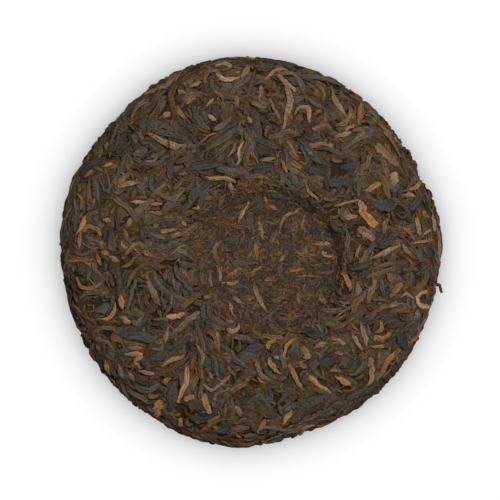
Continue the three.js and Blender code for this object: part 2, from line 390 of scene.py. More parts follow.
# %% Twist them, press them, and lay them along their middle lines
def leaf_rings(spines, across, up, lift, press, roll, sink):
    """Ring corners of many leaves: leaves by stations by sides by 3. Lift and press are per station."""
    leaves, stations, _ = spines.shape
    place, direction, normal = spines[:, :, 0:3], spines[:, :, 3:6], spines[:, :, 6:9]
    side = np.cross(normal, direction)
    along = np.linspace(0, 1, stations)[None, :, None]
    top = press[:, :, None]

    twist = roll * (per_leaf(-1, 1, leaves) + per_leaf(-2.2, 2.2, leaves) * (along - 0.5))
    turned_across = across * np.cos(twist) - up * np.sin(twist)
    turned_up = across * np.sin(twist) + up * np.cos(twist)
    wave = 0.12 * top * np.sin(along * per_leaf(2, 7, leaves) + per_leaf(0, 6.3, leaves))
    sunk = np.where(along < 0.5, per_leaf(0, 1, leaves), per_leaf(0, 1, leaves)) ** 2
    dive = sink * top * (np.abs(along - 0.5) * 2) ** 3 * sunk
    height = lift[:, :, None] + wave - dive + turned_up
    height = np.minimum(height, top + 0.15 * (height - top))

    rings = place[:, :, None, :] + side[:, :, None, :] * turned_across[..., None]
    return rings + normal[:, :, None, :] * height[..., None]


# %% The vertices of the leaves, with their tips
FOOT_SQUEEZE = 0.4 * MM
TIP_REACH = 0.25


def leaf_points(rings):
    """The vertices of each leaf: the corners of its rings, then its two tips."""
    tips = rings[:, [0, -1]].mean(axis=2)
    ends = rings[:, [1, -2]].mean(axis=2)
    tips = tips + (tips - ends) * TIP_REACH
    points = np.concatenate([rings.reshape(len(rings), -1, 3), tips], axis=1)
    squeezed = FOOT_SQUEEZE * np.exp(np.minimum(points[..., 2] / FOOT_SQUEEZE - 1, 0))
    points[..., 2] = np.where(points[..., 2] < FOOT_SQUEEZE, squeezed, points[..., 2])
    return points


# %% The faces of one leaf, and its map
def ring_grid(stations, sides):
    """The number of the ring and of the side that each quad of a leaf starts at."""
    return np.meshgrid(np.arange(stations - 1), np.arange(sides), indexing="ij")


def leaf_faces(stations, sides):
    """The faces of a leaf as numbers of its vertices: quads between the rings, and a fan at each tip."""
    ring, side = ring_grid(stations, sides)
    following = (side + 1) % sides
    near, far = ring * sides, (ring + 1) * sides
    quads = np.stack([near + side, near + following, far + following, far + side], axis=-1)

    edge = np.arange(sides)
    following = (edge + 1) % sides
    tip = np.full(sides, stations * sides)
    last_ring = (stations - 1) * sides
    start_fan = np.stack([following, edge, tip], axis=1)
    end_fan = np.stack([last_ring + edge, last_ring + following, tip + 1], axis=1)
    return quads.reshape(-1, 4), np.concatenate([start_fan, end_fan])


def leaf_face_maps(stations, sides, turns):
    """The map at each corner of a leaf's faces: the way round the leaf, and the way along it."""
    ring, side = ring_grid(stations, sides)
    around = turns[np.stack([side, side + 1, side + 1, side], axis=-1)]
    along = np.stack([ring, ring, ring + 1, ring + 1], axis=-1) / (stations - 1)
    quad_map = np.stack([around, along], axis=-1).reshape(-1, 2)

    edge = np.arange(sides)
    around = turns[np.stack([edge + 1, edge, edge], axis=-1)]
    start_map = np.stack([around, np.zeros_like(around)], axis=-1).reshape(-1, 2)
    end_map = np.stack([around, np.ones_like(around)], axis=-1).reshape(-1, 2)
    return quad_map, np.concatenate([start_map, end_map])


# %% Many leaves in one mesh
TONE_DRIFT = 0.3


def leaf_tones(tones, stations, sides):
    """The tone at each vertex of each leaf, in the order of the vertices."""
    drift = random.uniform(-TONE_DRIFT, TONE_DRIFT, (len(tones), 1)) * np.linspace(-1, 1, stations)
    by_station = tones[:, None] + drift
    return np.concatenate([np.repeat(by_station, sides, axis=1), by_station[:, [0, -1]]], axis=1)


def leaf_mesh(name, rings, tones, corners):
    """One mesh of closed leaves, with their map and their tones."""
    leaves, stations, sides, _ = rings.shape
    points = leaf_points(rings)
    quads, fans = leaf_faces(stations, sides)
    first_points = np.arange(leaves)[:, None, None] * points.shape[1]
    all_quads = (quads + first_points).reshape(-1, 4)
    all_fans = (fans + first_points).reshape(-1, 3)
    mesh = bpy.data.meshes.new(name)
    mesh.from_pydata(points.reshape(-1, 3).tolist(), [], all_quads.tolist() + all_fans.tolist())

    turns = np.append(ring_angles(*corners) / (2 * np.pi), 1.0)
    maps = [np.tile(one_leaf, (leaves, 1)) for one_leaf in leaf_face_maps(stations, sides, turns)]
    layer = mesh.uv_layers.new(name="leaf_map")
    layer.data.foreach_set("uv", np.concatenate(maps).astype(np.float32).ravel())
    tone = mesh.attributes.new("tone", "FLOAT", "POINT")
    tone.data.foreach_set("value", leaf_tones(tones, stations, sides).astype(np.float32).ravel())

    mesh.shade_smooth()
    piece = bpy.data.objects.new(name, mesh)
    bpy.context.collection.objects.link(piece)
    print(name + ":", leaves, "leaves,", 2 * len(all_quads) + len(all_fans), "triangles")
    return piece


# %% [markdown]
# ## Laying the leaves
#
# Pressed leaves fit side by side like a mosaic, with dark cracks between them. So the leaves of the
# top layer are laid one by one, the largest first, and a leaf only stays where it finds room
# between those that lie there already. Smaller ones then fill the gaps. Under them lies a loose
# layer of broad leaves, and crumbs fill what is left. In the dimple the knot rubbed the leaves
# small and pressed them smooth, so leaves there are shorter, thinner and closer to one height.

# %% A leaf looks for room
CELL = 4 * MM
NEIGHBOURS = [(dx, dy, dz) for dx in (-1, 0, 1) for dy in (-1, 0, 1) for dz in (-1, 0, 1)]
taken = {}


def cell_of(place):
    """The little cube of space that a place is in."""
    return tuple(int(math.floor(value / CELL)) for value in place[:3])


def has_room(spine, width):
    """True if no leaf that was laid before comes closer than both half widths."""
    for row in spine:
        x, y, z = cell_of(row)
        for dx, dy, dz in NEIGHBOURS:
            for other in taken.get((x + dx, y + dy, z + dz), ()):
                if math.dist(row[:3], other[:3]) < width / 2 + other[3]:
                    return False
    return True


def take(spine, width):
    """Remembers where a leaf lies."""
    for row in spine:
        taken.setdefault(cell_of(row), []).append((*row[:3], width / 2))


# %% The kinds of leaf in the top layer
# Each has its share of the leaves, its thickness in millimetres, its breadth against the others,
# how far it twists, how creased it is, and how deep its ends dip.
FORM = ("share", "thickness", "breadth", "roll", "ridge", "sink")
FORMS = {
    "dark_rolled_leaves": (0.38, (1.5, 2.2), 1.0, 0.45, 0.45, 0.9),
    "brown_rolled_leaves": (0.33, (1.4, 2.1), 0.95, 0.5, 0.5, 0.9),
    "olive_leaves": (0.16, (1.3, 1.9), 0.95, 0.45, 0.45, 0.7),
    "grey_flat_leaves": (0.07, (0.9, 1.3), 1.4, 0.15, 0.25, 0.5),
    "golden_buds": (0.06, (1.3, 1.9), 0.85, 0.35, 0.4, 0.3),
}
KINDS = {kind: dict(zip(FORM, form)) for kind, form in FORMS.items()}
STATIONS = 10
TOP_CORNERS = (7, 3)
laid = {kind: [] for kind in KINDS}

# %% [markdown]
# ### The leaves that stand out
#
# Some leaves catch the eye in the photograph: golden buds, broad black leaves, and a few long ones
# of the other kinds. They are laid first, each through two to five places on the back that were
# read from the photograph, in millimetres from the middle of the cake. Before the places come the
# tone, from dull to pale, and the width.

# %% Golden buds that stand out, from the top round to the left
STANDING_OUT = {}
STANDING_OUT["golden_buds"] = (
    (0.85, 2.4, (-17, 93), (-13, 95), (-9, 93)),
    (0.95, 2.9, (-17, 90), (-12, 86), (-5, 88)),
    (0.45, 3.6, (-4, 88), (0, 93)),
    (0.8, 2.4, (-1, 68), (1, 65)),
    (0.7, 2.1, (8, 87), (13, 91), (18, 92)),
    (0.7, 2.4, (14, 89), (19, 85), (23, 81)),
    (0.35, 3.8, (17, 86), (21, 78), (19, 69), (17, 62)),
    (0.2, 2.0, (10, 78), (13, 71), (16, 65)),
    (0.55, 3.0, (23, 69), (24, 73), (30, 73), (30, 65)),
    (0.45, 2.4, (41, 83), (43, 76), (49, 68)),
    (0.15, 3.8, (56, 75), (55, 64)),
    (0.8, 2.6, (43, 58), (51, 60)),
    (0.6, 2.0, (5, 46), (13, 47)),
    (0.6, 2.0, (16, 47), (19, 40)),
    (0.1, 2.9, (56, 38), (58, 45)),
    (0.95, 4.8, (73, 40), (73, 33)),
    (0.5, 4.2, (59, 30), (66, 35)),
    (0.55, 2.2, (77, 30), (84, 32), (88, 36)),
    (0.6, 4.8, (56, 26), (58, 18), (64, 13)),
    (0.55, 2.6, (48, 17), (55, 18)),
    (0.5, 1.6, (43, 23), (50, 25), (55, 26)),
    (0.15, 4.4, (55, 12), (63, 6)),
    (0.75, 2.9, (92, 20), (93, 10)),
    (0.6, 1.6, (87, 7), (89, 10), (92, 11)),
    (0.35, 2.8, (84, 17), (86, 8)),
    (0.6, 2.8, (87, 20), (90, 17)),
    (0.3, 2.1, (74, 13), (80, 11), (84, 5)),
    (0.4, 1.7, (81, 4), (93, 6)),
    (0.3, 2.4, (77, 5), (79, 0), (84, -4)),
    (0.6, 2.9, (61, -4), (67, -1), (76, 3)),
    (0.6, 1.8, (53, -4), (56, 3)),
    (0.15, 3.0, (70, -11), (72, -16)),
    (0.15, 3.8, (71, -23), (77, -16)),
    (0.8, 1.6, (76, -23), (79, -21), (83, -24)),
    (0.95, 2.6, (93, -17), (93, -27), (86, -29), (83, -22), (89, -20)),
    (0.5, 2.3, (80, -46), (84, -44), (86, -37)),
    (0.45, 2.8, (63, -41), (67, -39), (66, -35)),
    (0.4, 2.2, (63, -43), (68, -44), (71, -41)),
    (0.6, 2.6, (56, -36), (58, -42), (59, -48)),
    (0.6, 2.2, (52, -42), (57, -50)),
    (0.55, 2.0, (60, -48), (69, -48)),
    (0.6, 1.9, (43, -51), (48, -52)),
    (0.65, 3.6, (43, -63), (51, -67)),
    (0.75, 3.0, (30, -63), (34, -67), (41, -71)),
    (0.5, 2.6, (20, -57), (23, -63), (26, -69)),
    (0.6, 3.9, (27, -48), (30, -54)),
    (0.5, 3.0, (32, -49), (38, -46)),
    (0.25, 2.9, (25, -56), (29, -59)),
    (0.7, 2.0, (17, -54), (19, -47), (23, -44)),
    (1.0, 2.2, (12, -53), (15, -54)),
    (0.7, 2.2, (9, -49), (10, -46), (13, -45)),
    (0.6, 2.6, (25, -92), (28, -88), (33, -87)),
    (0.5, 2.6, (34, -88), (37, -87)),
    (0.5, 2.5, (4, -91), (8, -85)),
    (0.7, 1.8, (-7, -92), (-4, -94)),
    (0.45, 3.4, (-7, -78), (-4, -83)),
    (0.45, 2.0, (-24, -66), (-19, -71), (-16, -68), (-10, -63)),
    (0.7, 1.7, (-20, -61), (-19, -64)),
    (0.5, 3.4, (-23, -72), (-20, -82)),
    (0.7, 2.6, (-35, -84), (-34, -88)),
    (0.75, 2.9, (-33, -75), (-28, -73)),
    (0.5, 5.4, (-45, -75), (-47, -83)),
    (0.4, 2.8, (-44, -66), (-40, -64)),
    (0.75, 2.2, (-44, -58), (-38, -54), (-33, -53)),
    (0.45, 2.9, (-61, -61), (-58, -65)),
    (0.7, 2.0, (-56, -60), (-48, -62)),
    (0.6, 2.1, (-54, -53), (-58, -55), (-55, -59)),
    (0.8, 2.9, (-63, -52), (-54, -52)),
    (0.5, 2.0, (-62, -48), (-53, -49)),
    (0.45, 2.9, (-73, -55), (-70, -62)),
    (0.7, 2.0, (-77, -47), (-75, -50)),
    (0.5, 2.6, (-41, -38), (-43, -46)),
    (1.0, 2.8, (-42, -33), (-37, -33), (-33, -31)),
    (0.85, 3.6, (-65, -33), (-60, -36)),
    (0.75, 2.3, (-77, -34), (-71, -34), (-68, -30), (-68, -26)),
    (0.6, 2.9, (-65, -22), (-64, -29)),
    (0.35, 2.0, (-87, -13), (-85, -18), (-80, -19), (-75, -16)),
    (0.45, 2.3, (-77, -1), (-75, -7)),
    (0.75, 2.9, (-71, -2), (-66, -5)),
    (0.6, 2.9, (-75, 0), (-71, -1)),
    (0.4, 2.4, (-45, 10), (-37, 11)),
    (0.6, 2.0, (-34, 15), (-32, 13)),
    (0.65, 2.9, (-60, 17), (-62, 12)),
    (0.75, 2.2, (-74, 16), (-70, 16)),
    (0.65, 2.0, (-85, 10), (-86, 2)),
    (0.4, 2.6, (-84, 10), (-81, 13), (-76, 11), (-75, 8)),
    (0.9, 2.6, (-83, 18), (-84, 13), (-88, 8)),
    (0.3, 2.0, (-87, 30), (-84, 26), (-85, 21)),
    (0.5, 1.8, (-83, 37), (-79, 41)),
    (0.45, 2.2, (-51, 20), (-44, 19)),
    (0.8, 1.7, (-50, 24), (-44, 24)),
    (0.75, 2.1, (-60, 25), (-52, 25)),
    (0.35, 2.7, (-68, 32), (-62, 34), (-55, 35)),
    (0.6, 2.6, (-10, 35), (-9, 31), (-8, 28)),
    (0.5, 2.0, (-11, 48), (-8, 51), (-7, 55)),
    (0.7, 1.8, (-22, 73), (-18, 77)),
    (0.9, 2.6, (-21, 69), (-17, 66)),
    (0.7, 3.2, (-44, 68), (-40, 70)),
    (0.8, 2.3, (-36, 81), (-32, 80)),
    (0.45, 3.0, (-53, 79), (-46, 82)),
    (0.5, 2.6, (35, 0), (40, -2), (45, -3)),
    (0.45, 2.6, (32, 4), (41, 4)),
    (0.4, 2.8, (47, -10), (50, -15), (51, -20)),
    (0.3, 2.9, (35, -22), (39, -27)),
    (0.5, 2.0, (15, 9), (16, 16), (20, 19), (26, 22)),
    (0.45, 2.1, (3, 5), (4, -4)),
    (0.45, 2.6, (2, -17), (5, -24), (9, -31)),
    (0.5, 2.1, (-9, -23), (-4, -26)),
    (0.5, 2.2, (-23, -23), (-19, -23)),
    (0.5, 2.0, (28, 35), (30, 30), (35, 26)),
    (0.35, 2.0, (15, -5), (18, -2)),
    (0.25, 1.6, (20, -10), (27, -9)),
    (0.25, 2.4, (10, 24), (14, 21)),
)

# %% Broad black leaves, and some long olive and brown ones
STANDING_OUT["grey_flat_leaves"] = (
    (0.5, 5.4, (-70, 11), (-69, 0)),
    (0.4, 4.4, (-54, 12), (-53, 5)),
    (0.3, 5.4, (-65, -42), (-55, -43), (-46, -46)),
    (0.3, 4.9, (-53, -56), (-41, -50)),
    (0.4, 5.4, (-38, -66), (-40, -80)),
    (0.6, 5.0, (24, -45), (22, -53)),
    (0.4, 5.0, (-4, -50), (7, -48)),
    (0.4, 5.6, (34, -57), (44, -55)),
    (0.1, 5.4, (74, -41), (80, -49)),
    (0.3, 3.8, (69, -38), (79, -36)),
    (0.4, 4.4, (49, -74), (64, -68)),
    (0.3, 6.0, (61, 24), (73, 22)),
    (0.3, 4.4, (81, 21), (87, 28)),
    (0.2, 4.9, (66, 3), (73, 7)),
    (0.3, 4.4, (88, 2), (92, -4)),
    (0.3, 6.0, (40, 34), (52, 36)),
    (0.4, 4.8, (46, 42), (55, 44)),
    (0.3, 5.0, (30, 41), (39, 40)),
    (0.3, 5.0, (2, 41), (11, 42)),
    (0.3, 4.6, (-18, 75), (-16, 68)),
    (0.5, 2.9, (66, -13), (68, -23)),
    (0.4, 5.0, (14, 4), (25, 2)),
)
STANDING_OUT["olive_leaves"] = (
    (0.75, 3.0, (-6, 80), (-7, 72)),
    (0.7, 2.4, (-14, 76), (-11, 70)),
    (0.6, 3.0, (-46, 75), (-42, 78)),
    (0.35, 1.9, (-77, 43), (-74, 31), (-71, 29), (-70, 33), (-73, 42)),
    (0.45, 2.9, (-70, 28), (-60, 21), (-55, 14)),
    (0.45, 2.1, (-51, -4), (-60, -12), (-62, -19)),
    (0.3, 2.5, (-89, 0), (-84, -2), (-79, 1)),
    (0.5, 3.4, (-93, -5), (-91, 2)),
    (0.6, 4.0, (-70, -42), (-64, -46)),
    (0.5, 2.4, (-80, -41), (-73, -38), (-68, -39)),
    (0.5, 3.0, (-62, -70), (-55, -73), (-50, -77)),
    (0.4, 1.6, (36, -38), (44, -34), (50, -32)),
)
STANDING_OUT["brown_rolled_leaves"] = (
    (0.5, 2.9, (-79, -2), (-78, -9), (-71, -16)),
    (0.5, 2.5, (-91, -25), (-85, -31), (-78, -36)),
    (0.6, 2.4, (60, -9), (70, -6), (76, -5)),
    (0.55, 2.4, (59, -13), (67, -10), (76, -8)),
    (0.5, 2.2, (68, -30), (84, -30)),
)
STANDING_OUT["dark_rolled_leaves"] = (
    (0.5, 2.4, (11, -79), (19, -72), (27, -70)),
    (0.4, 2.0, (-3, -77), (3, -74), (5, -78)),
    (0.3, 1.8, (92, -16), (97, -17), (98, -21)),
)


# %% Lay them through their places
SPARED_SHARE = 0.45
GOLDEN_RAISED = 0.1


def through(points, stations):
    """A leaf's middle line that follows places seen from above, rounded and laid on the core."""
    points = np.array(points) * MM
    passed = np.concatenate([[0], np.cumsum(np.hypot(*np.diff(points, axis=0).T))])
    even = np.linspace(0, passed[-1], stations)
    line = np.stack([np.interp(even, passed, points[:, axis]) for axis in (0, 1)], axis=1)
    line[1:-1] = 0.25 * line[:-2] + 0.5 * line[1:-1] + 0.25 * line[2:]
    forward = np.gradient(line, axis=0)
    rows = []
    for (x, y), (dx, dy) in zip(line, forward):
        place, normal, _, _ = skin.ray_cast(Vector((x, y, 2 * CORE_TOP)), Vector((0, 0, -1)))
        if place is None:
            beside = skin.find_nearest(Vector((x, y, RIM_HEIGHT)))[0]
            place, normal = Vector((x, y, beside.z)), Vector((0, 0, 1))
        direction = Vector((dx, dy, 0))
        direction = (direction - normal * direction.dot(normal)).normalized()
        rows.append((*place, *direction, *normal))
    return rows


for kind, leaves in STANDING_OUT.items():
    raised = GOLDEN_RAISED if kind == "golden_buds" else 0.0
    for tone, width, *points in leaves:
        spine = through(points, STATIONS)
        take(spine, SPARED_SHARE * width * MM)
        laid[kind].append((spine, width * MM, tone, raised))
print("standing out:", sum(map(len, laid.values())), "leaves")

# %% [markdown]
# ### The other leaves find room
#
# Leaves that start outside the dimple end at its lip, and a few of all leaves are curled.

# %% Three passes, from long leaves to short ones, in millimetres
PASSES = (
    {"tries": 2400, "length": (15, 27), "width": (2.6, 4.4)},
    {"tries": 6000, "length": (8, 16), "width": (2.2, 3.8)},
    {"tries": 9000, "length": (4.5, 9), "width": (1.6, 3.0)},
)
CLOSENESS = 0.42
CURLED_SHARE = 0.09
RUBBED_REACH, LIP_REACH = 0.92, 0.93
RUBBED_WIDTH, RUBBED_LENGTH, RUBBED_ROOM = 0.75, 0.55, 1.7
UNDERSIDE = 2 * MM


def on_cake(place):
    """Keeps fewer leaves on the underside, which the press left smoother."""
    return place[2] > UNDERSIDE or random.random() < 0.6


def random_bend():
    """By how much a leaf turns from end to end, in radians: mostly a little, seldom a lot."""
    return random.uniform(1.6, 3.2) if random.random() < CURLED_SHARE else random.normal(0, 0.7)


def crosses_lip(spine):
    """True if any part of a leaf reaches into the dimple."""
    return min(dimple_reach(row[:3]) for row in spine) < LIP_REACH


# %% Lay them, pass by pass
names = list(KINDS)
shares = [KINDS[kind]["share"] for kind in names]
for number, leaf_pass in enumerate(PASSES, start=1):
    before = sum(map(len, laid.values()))
    for place in random_places(leaf_pass["tries"], on_cake):
        kind = names[random.choice(len(names), p=shares)]
        rubbed = dimple_reach(place) < RUBBED_REACH
        width = random.uniform(*leaf_pass["width"]) * MM * KINDS[kind]["breadth"]
        width *= RUBBED_WIDTH if rubbed else 1
        length = random.uniform(*leaf_pass["length"]) * MM * (RUBBED_LENGTH if rubbed else 1)
        bend = random_bend()
        spine = walk(place, random_heading(place), length, bend, STATIONS)
        room = width * CLOSENESS * (RUBBED_ROOM if rubbed else 1)
        if not rubbed and crosses_lip(spine):
            continue
        if has_room(spine, room):
            take(spine, room)
            laid[kind].append((spine, width, random.random(), random.uniform(-0.2, 0.05)))
    print("pass", number, "laid", sum(map(len, laid.values())) - before, "leaves")

# %% Build the leaves that found room
TOP_RAISED = 0.95
BELOW_TOP = 0.42
UNEVEN = 0.25
leaf_pieces = {}


def build_leaves(name, spines, widths, thicks, tones, raised, form, corners, proud=0.0):
    """Makes the piece of one kind of leaf, pressed to the depth of the cover. Raised is a share of it."""
    spines = np.array(spines)
    cover = cover_at(spines[:, :, 0:3])
    thicks = thicks * np.sqrt(cover.mean(axis=1) / SKIN_DEPTH)
    lift = raised[:, None] * cover - BELOW_TOP * thicks[:, None]
    press = cover + random.uniform(0.0, UNEVEN, (len(widths), 1)) * cover + proud
    across, up = leaf_sections(widths, thicks, form["ridge"], spines.shape[1], corners)
    rings = leaf_rings(spines, across, up, lift, press, form["roll"], form["sink"])
    leaf_pieces[name] = leaf_mesh(name, rings, tones, corners)


for kind, made in laid.items():
    spines, widths, tones, raised = (np.array(column) for column in zip(*made))
    thicks = random.uniform(*KINDS[kind]["thickness"], len(made)) * MM
    build_leaves(kind, spines, widths, thicks, tones, TOP_RAISED + raised, KINDS[kind], TOP_CORNERS)


# %% The loose layers: broad leaves underneath, stems, crumbs and the pulp of the dimple
LOOSE_PROUD = 0.05 * MM


def scatter_leaves(
    name, count, length, width, thickness, raised, roll, stations=4, corners=(3, 2), wanted=on_cake
):
    """Lays leaves anywhere, over and under each other. Lengths are in millimetres."""
    places = random_places(count, wanted)
    lengths = random.uniform(*length, count) * MM
    spines = [
        walk(place, random_heading(place), size, random.normal(0, 0.6), stations)
        for place, size in zip(places, lengths)
    ]
    widths = random.uniform(*width, count) * MM
    thicks = random.uniform(*thickness, count) * MM
    tones = random.random(count)
    raised = random.uniform(*raised, count)
    form = {"roll": roll, "ridge": 0.35, "sink": 0.9}
    build_leaves(name, spines, widths, thicks, tones, raised, form, corners, LOOSE_PROUD)


def outside_dimple(place):
    """True where the leaf cover is deep."""
    return on_cake(place) and dimple_reach(place) > 1.0


def inside_dimple(place):
    """True on the floor of the dimple and on its wall."""
    return dimple_reach(place) < 1.0


scatter_leaves(
    "under_leaves", 1900, length=(8, 22), width=(3.8, 6.5), thickness=(0.8, 1.2), raised=(0.25, 0.6),
    roll=0.15, stations=6, corners=(5, 2), wanted=outside_dimple,
)
scatter_leaves(
    "stems", 160, length=(6, 17), width=(0.8, 1.5), thickness=(0.7, 1.0), raised=(0.65, 1.0),
    roll=0.2, stations=7,
)
scatter_leaves(
    "crumbs", 4500, length=(1.6, 5.5), width=(0.8, 2.0), thickness=(0.6, 1.2), raised=(0.5, 1.0),
    roll=0.8, wanted=outside_dimple,
)
scatter_leaves(
    "pulp", 3400, length=(1.2, 4.2), width=(0.8, 2.4), thickness=(0.4, 0.8), raised=(0.2, 0.85),
    roll=0.5, wanted=inside_dimple,
)

# %% [markdown]
# ## Leaf grain
#
# Every leaf has fine lengthwise wrinkles, a seam where it is rolled shut and a slightly blotched
# colour. Painted shade darkens its edges, where it curls down beside its neighbours, and the seam;
# the wrinkles streak the colour, with painted shade in their grooves and painted light on their
# ridges. All kinds share this, so it is built once, as a node group. The wrinkles are a noise that is
# stretched along the leaf's own map, and the tone of a leaf shifts the noise, so that no two leaves
# have the same wrinkles. Two slower noises let the hue and the saturation drift from place to place
# over the cake.

# %% Helpers that add and join shader nodes
def input_of(node, key):
    """An input of a node, by its name or, as i0, i1 and so on, by its number."""
    name = key.replace("_", " ")
    return node.inputs[name] if name in node.inputs else node.inputs[int(key[1:])]


def add_node(tree, kind, settings=None, **inputs):
    """Adds a node, sets its properties, and fills or links its inputs by name."""
    node = tree.nodes.new(kind)
    for key, value in (settings or {}).items():
        setattr(node, key, value)
    for key, value in inputs.items():
        socket = input_of(node, key)
        if isinstance(value, bpy.types.NodeSocket):
            tree.links.new(value, socket)
        else:
            socket.default_value = value
    return node


def maths(tree, operation, first, second=0.0):
    """A Math node's result."""
    return add_node(tree, "ShaderNodeMath", {"operation": operation}, i0=first, i1=second).outputs[0]


def noise(tree, place, scale, detail, roughness=0.5):
    """A noise over a place, about 0.5 on average."""
    return add_node(
        tree, "ShaderNodeTexNoise", Vector=place, Scale=scale, Detail=detail, Roughness=roughness
    ).outputs[0]


def map_range(tree, value, start, end, low, high, shape="LINEAR"):
    """Turns a value between start and end into one between low and high."""
    return add_node(
        tree, "ShaderNodeMapRange", {"interpolation_type": shape},
        i0=value, i1=start, i2=end, i3=low, i4=high,
    ).outputs[0]


# %% What goes into the shared group, and what comes out
STAIN_DRIFT = 0.17

grain = bpy.data.node_groups.new("leaf_grain", "ShaderNodeTree")
for name, value in (("Wrinkles", 9.0), ("Tone", 0.5), ("Patches", 0.3), ("Drift", STAIN_DRIFT)):
    grain.interface.new_socket(name, in_out="INPUT", socket_type="NodeSocketFloat").default_value = value
for name in ("Shade", "Height", "Hue", "Saturation"):
    grain.interface.new_socket(name, in_out="OUTPUT", socket_type="NodeSocketFloat")
given = grain.nodes.new("NodeGroupInput").outputs
results = grain.nodes.new("NodeGroupOutput").inputs

# %% Its noises: wrinkles on the leaf's own map, the others through the whole cake
ALONG_WRINKLES = 2.2
TONE_SHIFT = 90.0

leaf_map = add_node(grain, "ShaderNodeUVMap", {"uv_map": "leaf_map"}).outputs[0]
stretch = add_node(grain, "ShaderNodeCombineXYZ", X=given["Wrinkles"], Y=ALONG_WRINKLES, Z=0.0)
shift = add_node(grain, "ShaderNodeCombineXYZ", Z=maths(grain, "MULTIPLY", given["Tone"], TONE_SHIFT))
stretched = add_node(
    grain, "ShaderNodeVectorMath", {"operation": "MULTIPLY_ADD"},
    i0=leaf_map, i1=stretch.outputs[0], i2=shift.outputs[0],
)
wrinkles = noise(grain, stretched.outputs[0], 1.0, 4.0, 0.62)
where = grain.nodes.new("ShaderNodeTexCoord").outputs["Object"]
blotches = noise(grain, where, 900.0, 4.0, 0.7)
patches = noise(grain, where, 140.0, 2.0)
stain = noise(grain, where, 230.0, 3.0, 0.6)

# %% The shade: tone, blotches, wrinkles and patches together, with painted shade at the edges and in the seam
TONE_SHARE, BLOTCH_SHARE, WRINKLE_SHARE = 0.46, 0.8, 1.65
DARKER = 0.94
CREST = 0.25
SHADED_EDGE_START, SHADED_EDGE_END, PAINTED_EDGE_SHADE = 0.14, 0.26, 0.42
SEAM_WIDTH, SEAM_SHADE = 0.03, 0.25

toned = maths(grain, "MULTIPLY", given["Tone"], TONE_SHARE)
blotched = maths(grain, "MULTIPLY", blotches, BLOTCH_SHARE)
# The wrinkles streak the leaf's colour; as the same noise raises the bump, this is also painted shade in
# the grooves and painted light on the ridges.
wrinkle_streaks_and_shade = maths(grain, "MULTIPLY", wrinkles, WRINKLE_SHARE)
patched = maths(grain, "MULTIPLY", maths(grain, "SUBTRACT", patches, 0.5), given["Patches"])
shade = maths(grain, "ADD", maths(grain, "ADD", toned, blotched), maths(grain, "ADD", wrinkle_streaks_and_shade, patched))
shade = maths(grain, "SUBTRACT", shade, DARKER)
around = add_node(grain, "ShaderNodeSeparateXYZ", i0=leaf_map).outputs["X"]
from_crest = maths(grain, "ABSOLUTE", maths(grain, "SUBTRACT", around, CREST))
# Painted shade: the colour darkens towards both edges of the leaf's top, where it curls down beside its
# neighbours.
edge = map_range(grain, from_crest, SHADED_EDGE_START, SHADED_EDGE_END, 0.0, PAINTED_EDGE_SHADE, "SMOOTHSTEP")
shade = maths(grain, "SUBTRACT", shade, edge)
# Painted shade: a thin dark line along the seam where the leaf is rolled shut; the same line also sinks
# the bump a little.
seam_place = maths(grain, "ADD", maths(grain, "MULTIPLY", given["Tone"], 0.16), 0.17)
from_seam = maths(grain, "ABSOLUTE", maths(grain, "SUBTRACT", around, seam_place))
seam_groove_and_shade = map_range(grain, from_seam, 0.0, SEAM_WIDTH, SEAM_SHADE, 0.0, "SMOOTHSTEP")
shade = maths(grain, "SUBTRACT", shade, seam_groove_and_shade)

# %% The height for the bump, and the drift of hue and saturation
HUE_CENTRE = 0.497
SATURATION_SPREAD, SATURATION_LEAST = 1.25, 0.36

height = maths(grain, "ADD", wrinkles, maths(grain, "MULTIPLY", blotches, 0.5))
height = maths(grain, "SUBTRACT", height, seam_groove_and_shade)
drifted = maths(grain, "MULTIPLY", maths(grain, "SUBTRACT", stain, 0.5), given["Drift"])
hue = maths(grain, "ADD", drifted, HUE_CENTRE)
saturation = maths(grain, "ADD", maths(grain, "MULTIPLY", patches, SATURATION_SPREAD), SATURATION_LEAST)
for name, value in (("Shade", shade), ("Height", height), ("Hue", hue), ("Saturation", saturation)):
    grain.links.new(value, results[name])
print("leaf_grain:", len(grain.nodes), "nodes")

# %% [markdown]
# ## Leaf finishes
#
# The kinds of leaf differ in colour and in how dull they are. Each gets its own material, with the
# shared grain, a ramp of its own colours and its own roughness. The flat black leaves have a
# faint waxy shine that looks grey under a soft light.

# %% A finish from a ramp of colours
def leaf_finish(
    name, colours, roughness, bump, wrinkles=9, specular=0.1, patches=0.3, drift=STAIN_DRIFT
):
    """A leaf material: a ramp of (place, red, green, blue) over the shade of the grain."""
    material = bpy.data.materials.new(name)
    material.use_nodes = True
    tree = material.node_tree
    shader = tree.nodes["Principled BSDF"].inputs
    tone = add_node(tree, "ShaderNodeAttribute", {"attribute_name": "tone"}).outputs["Fac"]
    group = add_node(
        tree, "ShaderNodeGroup", {"node_tree": grain},
        Wrinkles=wrinkles, Tone=tone, Patches=patches, Drift=drift,
    ).outputs

    ramp = add_node(tree, "ShaderNodeValToRGB", Fac=group["Shade"])
    stops = ramp.color_ramp.elements
    while len(stops) < len(colours):
        stops.new(0.5)
    for stop, (place, *colour) in zip(stops, colours):
        stop.position = place
        stop.color = (*colour, 1)
    stained = add_node(
        tree, "ShaderNodeHueSaturation",
        Hue=group["Hue"], Saturation=group["Saturation"], Color=ramp.outputs[0],
    )
    tree.links.new(stained.outputs[0], shader["Base Color"])

    smoothest, roughest = roughness
    spread = map_range(tree, group["Height"], 0.5, 1.0, roughest, smoothest)
    tree.links.new(spread, shader["Roughness"])
    relief = add_node(tree, "ShaderNodeBump", Height=group["Height"], Distance=bump, Strength=1.0)
    tree.links.new(relief.outputs[0], shader["Normal"])
    shader["Specular IOR Level"].default_value = specular
    return material


